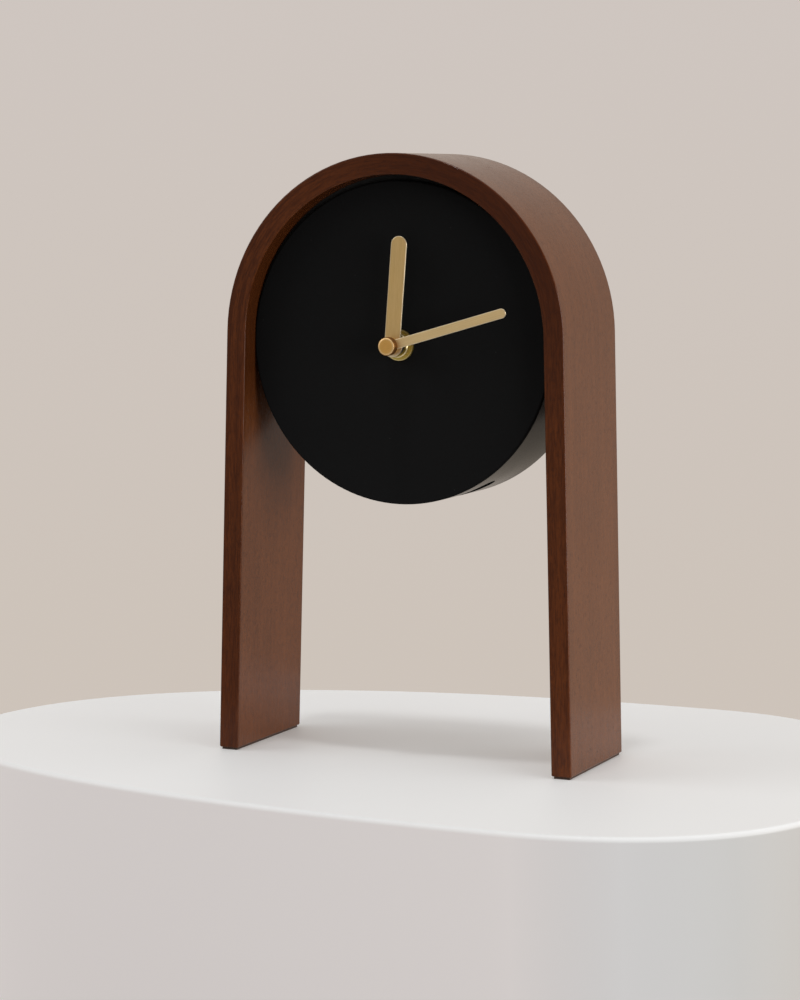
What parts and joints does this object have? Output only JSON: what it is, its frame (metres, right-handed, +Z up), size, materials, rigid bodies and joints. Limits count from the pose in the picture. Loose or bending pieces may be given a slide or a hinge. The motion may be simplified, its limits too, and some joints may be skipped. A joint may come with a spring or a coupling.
{
  "type": "arch table clock",
  "caption": "Table clock: a black drum with a plain dial and brass hands, held in the bend of an upside-down U of stained wood.",
  "frame": {"origin": "on the table, at the centre of the object's width and overall depth", "axes": "+Z up, +X to the right as seen from the front, the dial faces -Y"},
  "size_m": [0.1698, 0.0686, 0.267],
  "materials": {
    "stained_wood": "satin",
    "black_rubber": "matte",
    "black_paint": "matte",
    "black_felt": "matte",
    "steel": "satin",
    "brass": "brushed",
    "black_plastic": "matte",
    "clear_plastic": "satin",
    "white_plastic": "satin",
    "copper_wire": "satin",
    "board": "satin",
    "epoxy": "gloss",
    "cell_jacket": "gloss",
    "spring_strip": "satin",
    "magnet": "matte"
  },
  "bodies": {
    "clock_frame": {"arch_frame": "stained_wood", "left_foot_pad": "black_rubber", "right_foot_pad": "black_rubber", "drum_case": "black_paint", "felt_packing": "black_felt", "drum_screws": "steel", "dial_washer": "brass", "dial_nut": "brass", "movement_gasket": "black_rubber", "movement_front_case": "black_plastic", "movement_back_case": "black_plastic", "case_screws": "steel", "train_plate": "clear_plastic", "train_plate_screws": "steel", "stator_plate": "steel", "coil_core": "steel", "coil_bobbin": "white_plastic", "coil_winding": "copper_wire", "stator_screws": "steel", "circuit_board": "board", "circuit_chip": "epoxy", "quartz_crystal": "steel", "battery_cell": "cell_jacket", "positive_contact": "spring_strip", "negative_contact": "spring_strip"},
    "minute": {"minute_arbor": "white_plastic", "minute_hand": "brass", "cap_nut": "brass", "clutch_spring": "steel"},
    "hour": {"hour_wheel": "white_plastic", "hour_hand": "brass"},
    "motion_work": {"motion_wheel": "white_plastic"},
    "setting": {"setting_arbor": "white_plastic", "setting_knob": "black_plastic"},
    "rotor": {"rotor_pinion": "white_plastic", "rotor_magnet": "magnet"},
    "fifth": {"fifth_wheel": "white_plastic"},
    "fourth": {"fourth_wheel": "white_plastic"},
    "third": {"third_wheel": "white_plastic"},
    "centre": {"centre_wheel": "white_plastic"}
  },
  "joints": [
    {"name": "minute_hand_turn", "type": "hinge", "parent": "clock_frame", "child": "minute", "pos_m": [0, 0, 0.1839], "axis": [0, 1, 0], "continuous": true},
    {"name": "hour_hand_turn", "type": "hinge", "parent": "clock_frame", "child": "hour", "pos_m": [0, 0, 0.1839], "axis": [0, 1, 0], "continuous": true},
    {"name": "motion_wheel_turn", "type": "hinge", "parent": "clock_frame", "child": "motion_work", "pos_m": [0.00789, 0, 0.18103], "axis": [0, 1, 0], "continuous": true},
    {"name": "setting_knob_turn", "type": "hinge", "parent": "clock_frame", "child": "setting", "pos_m": [0.01579, 0, 0.1839], "axis": [0, 1, 0], "continuous": true},
    {"name": "rotor_turn", "type": "hinge", "parent": "clock_frame", "child": "rotor", "pos_m": [0.01244, 0, 0.19554], "axis": [0, 1, 0], "continuous": true},
    {"name": "fifth_wheel_turn", "type": "hinge", "parent": "clock_frame", "child": "fifth", "pos_m": [0.0052, 0, 0.19291], "axis": [0, 1, 0], "continuous": true},
    {"name": "fourth_wheel_turn", "type": "hinge", "parent": "clock_frame", "child": "fourth", "pos_m": [0, 0, 0.1839], "axis": [0, 1, 0], "continuous": true},
    {"name": "third_wheel_turn", "type": "hinge", "parent": "clock_frame", "child": "third", "pos_m": [-0.00883, 0, 0.189], "axis": [0, 1, 0], "continuous": true},
    {"name": "centre_wheel_turn", "type": "hinge", "parent": "clock_frame", "child": "centre", "pos_m": [0, 0, 0.1839], "axis": [0, 1, 0], "continuous": true}
  ],
  "couplings": [
    {"joint": "hour_hand_turn", "follows": "minute_hand_turn", "ratio": 0.083333},
    {"joint": "motion_wheel_turn", "follows": "minute_hand_turn", "ratio": -0.33333},
    {"joint": "setting_knob_turn", "follows": "minute_hand_turn", "ratio": 1},
    {"joint": "fifth_wheel_turn", "follows": "rotor_turn", "ratio": -0.16667},
    {"joint": "fourth_wheel_turn", "follows": "rotor_turn", "ratio": 0.033333},
    {"joint": "third_wheel_turn", "follows": "rotor_turn", "ratio": -0.0044444},
    {"joint": "centre_wheel_turn", "follows": "rotor_turn", "ratio": 0.00055556}
  ]
}
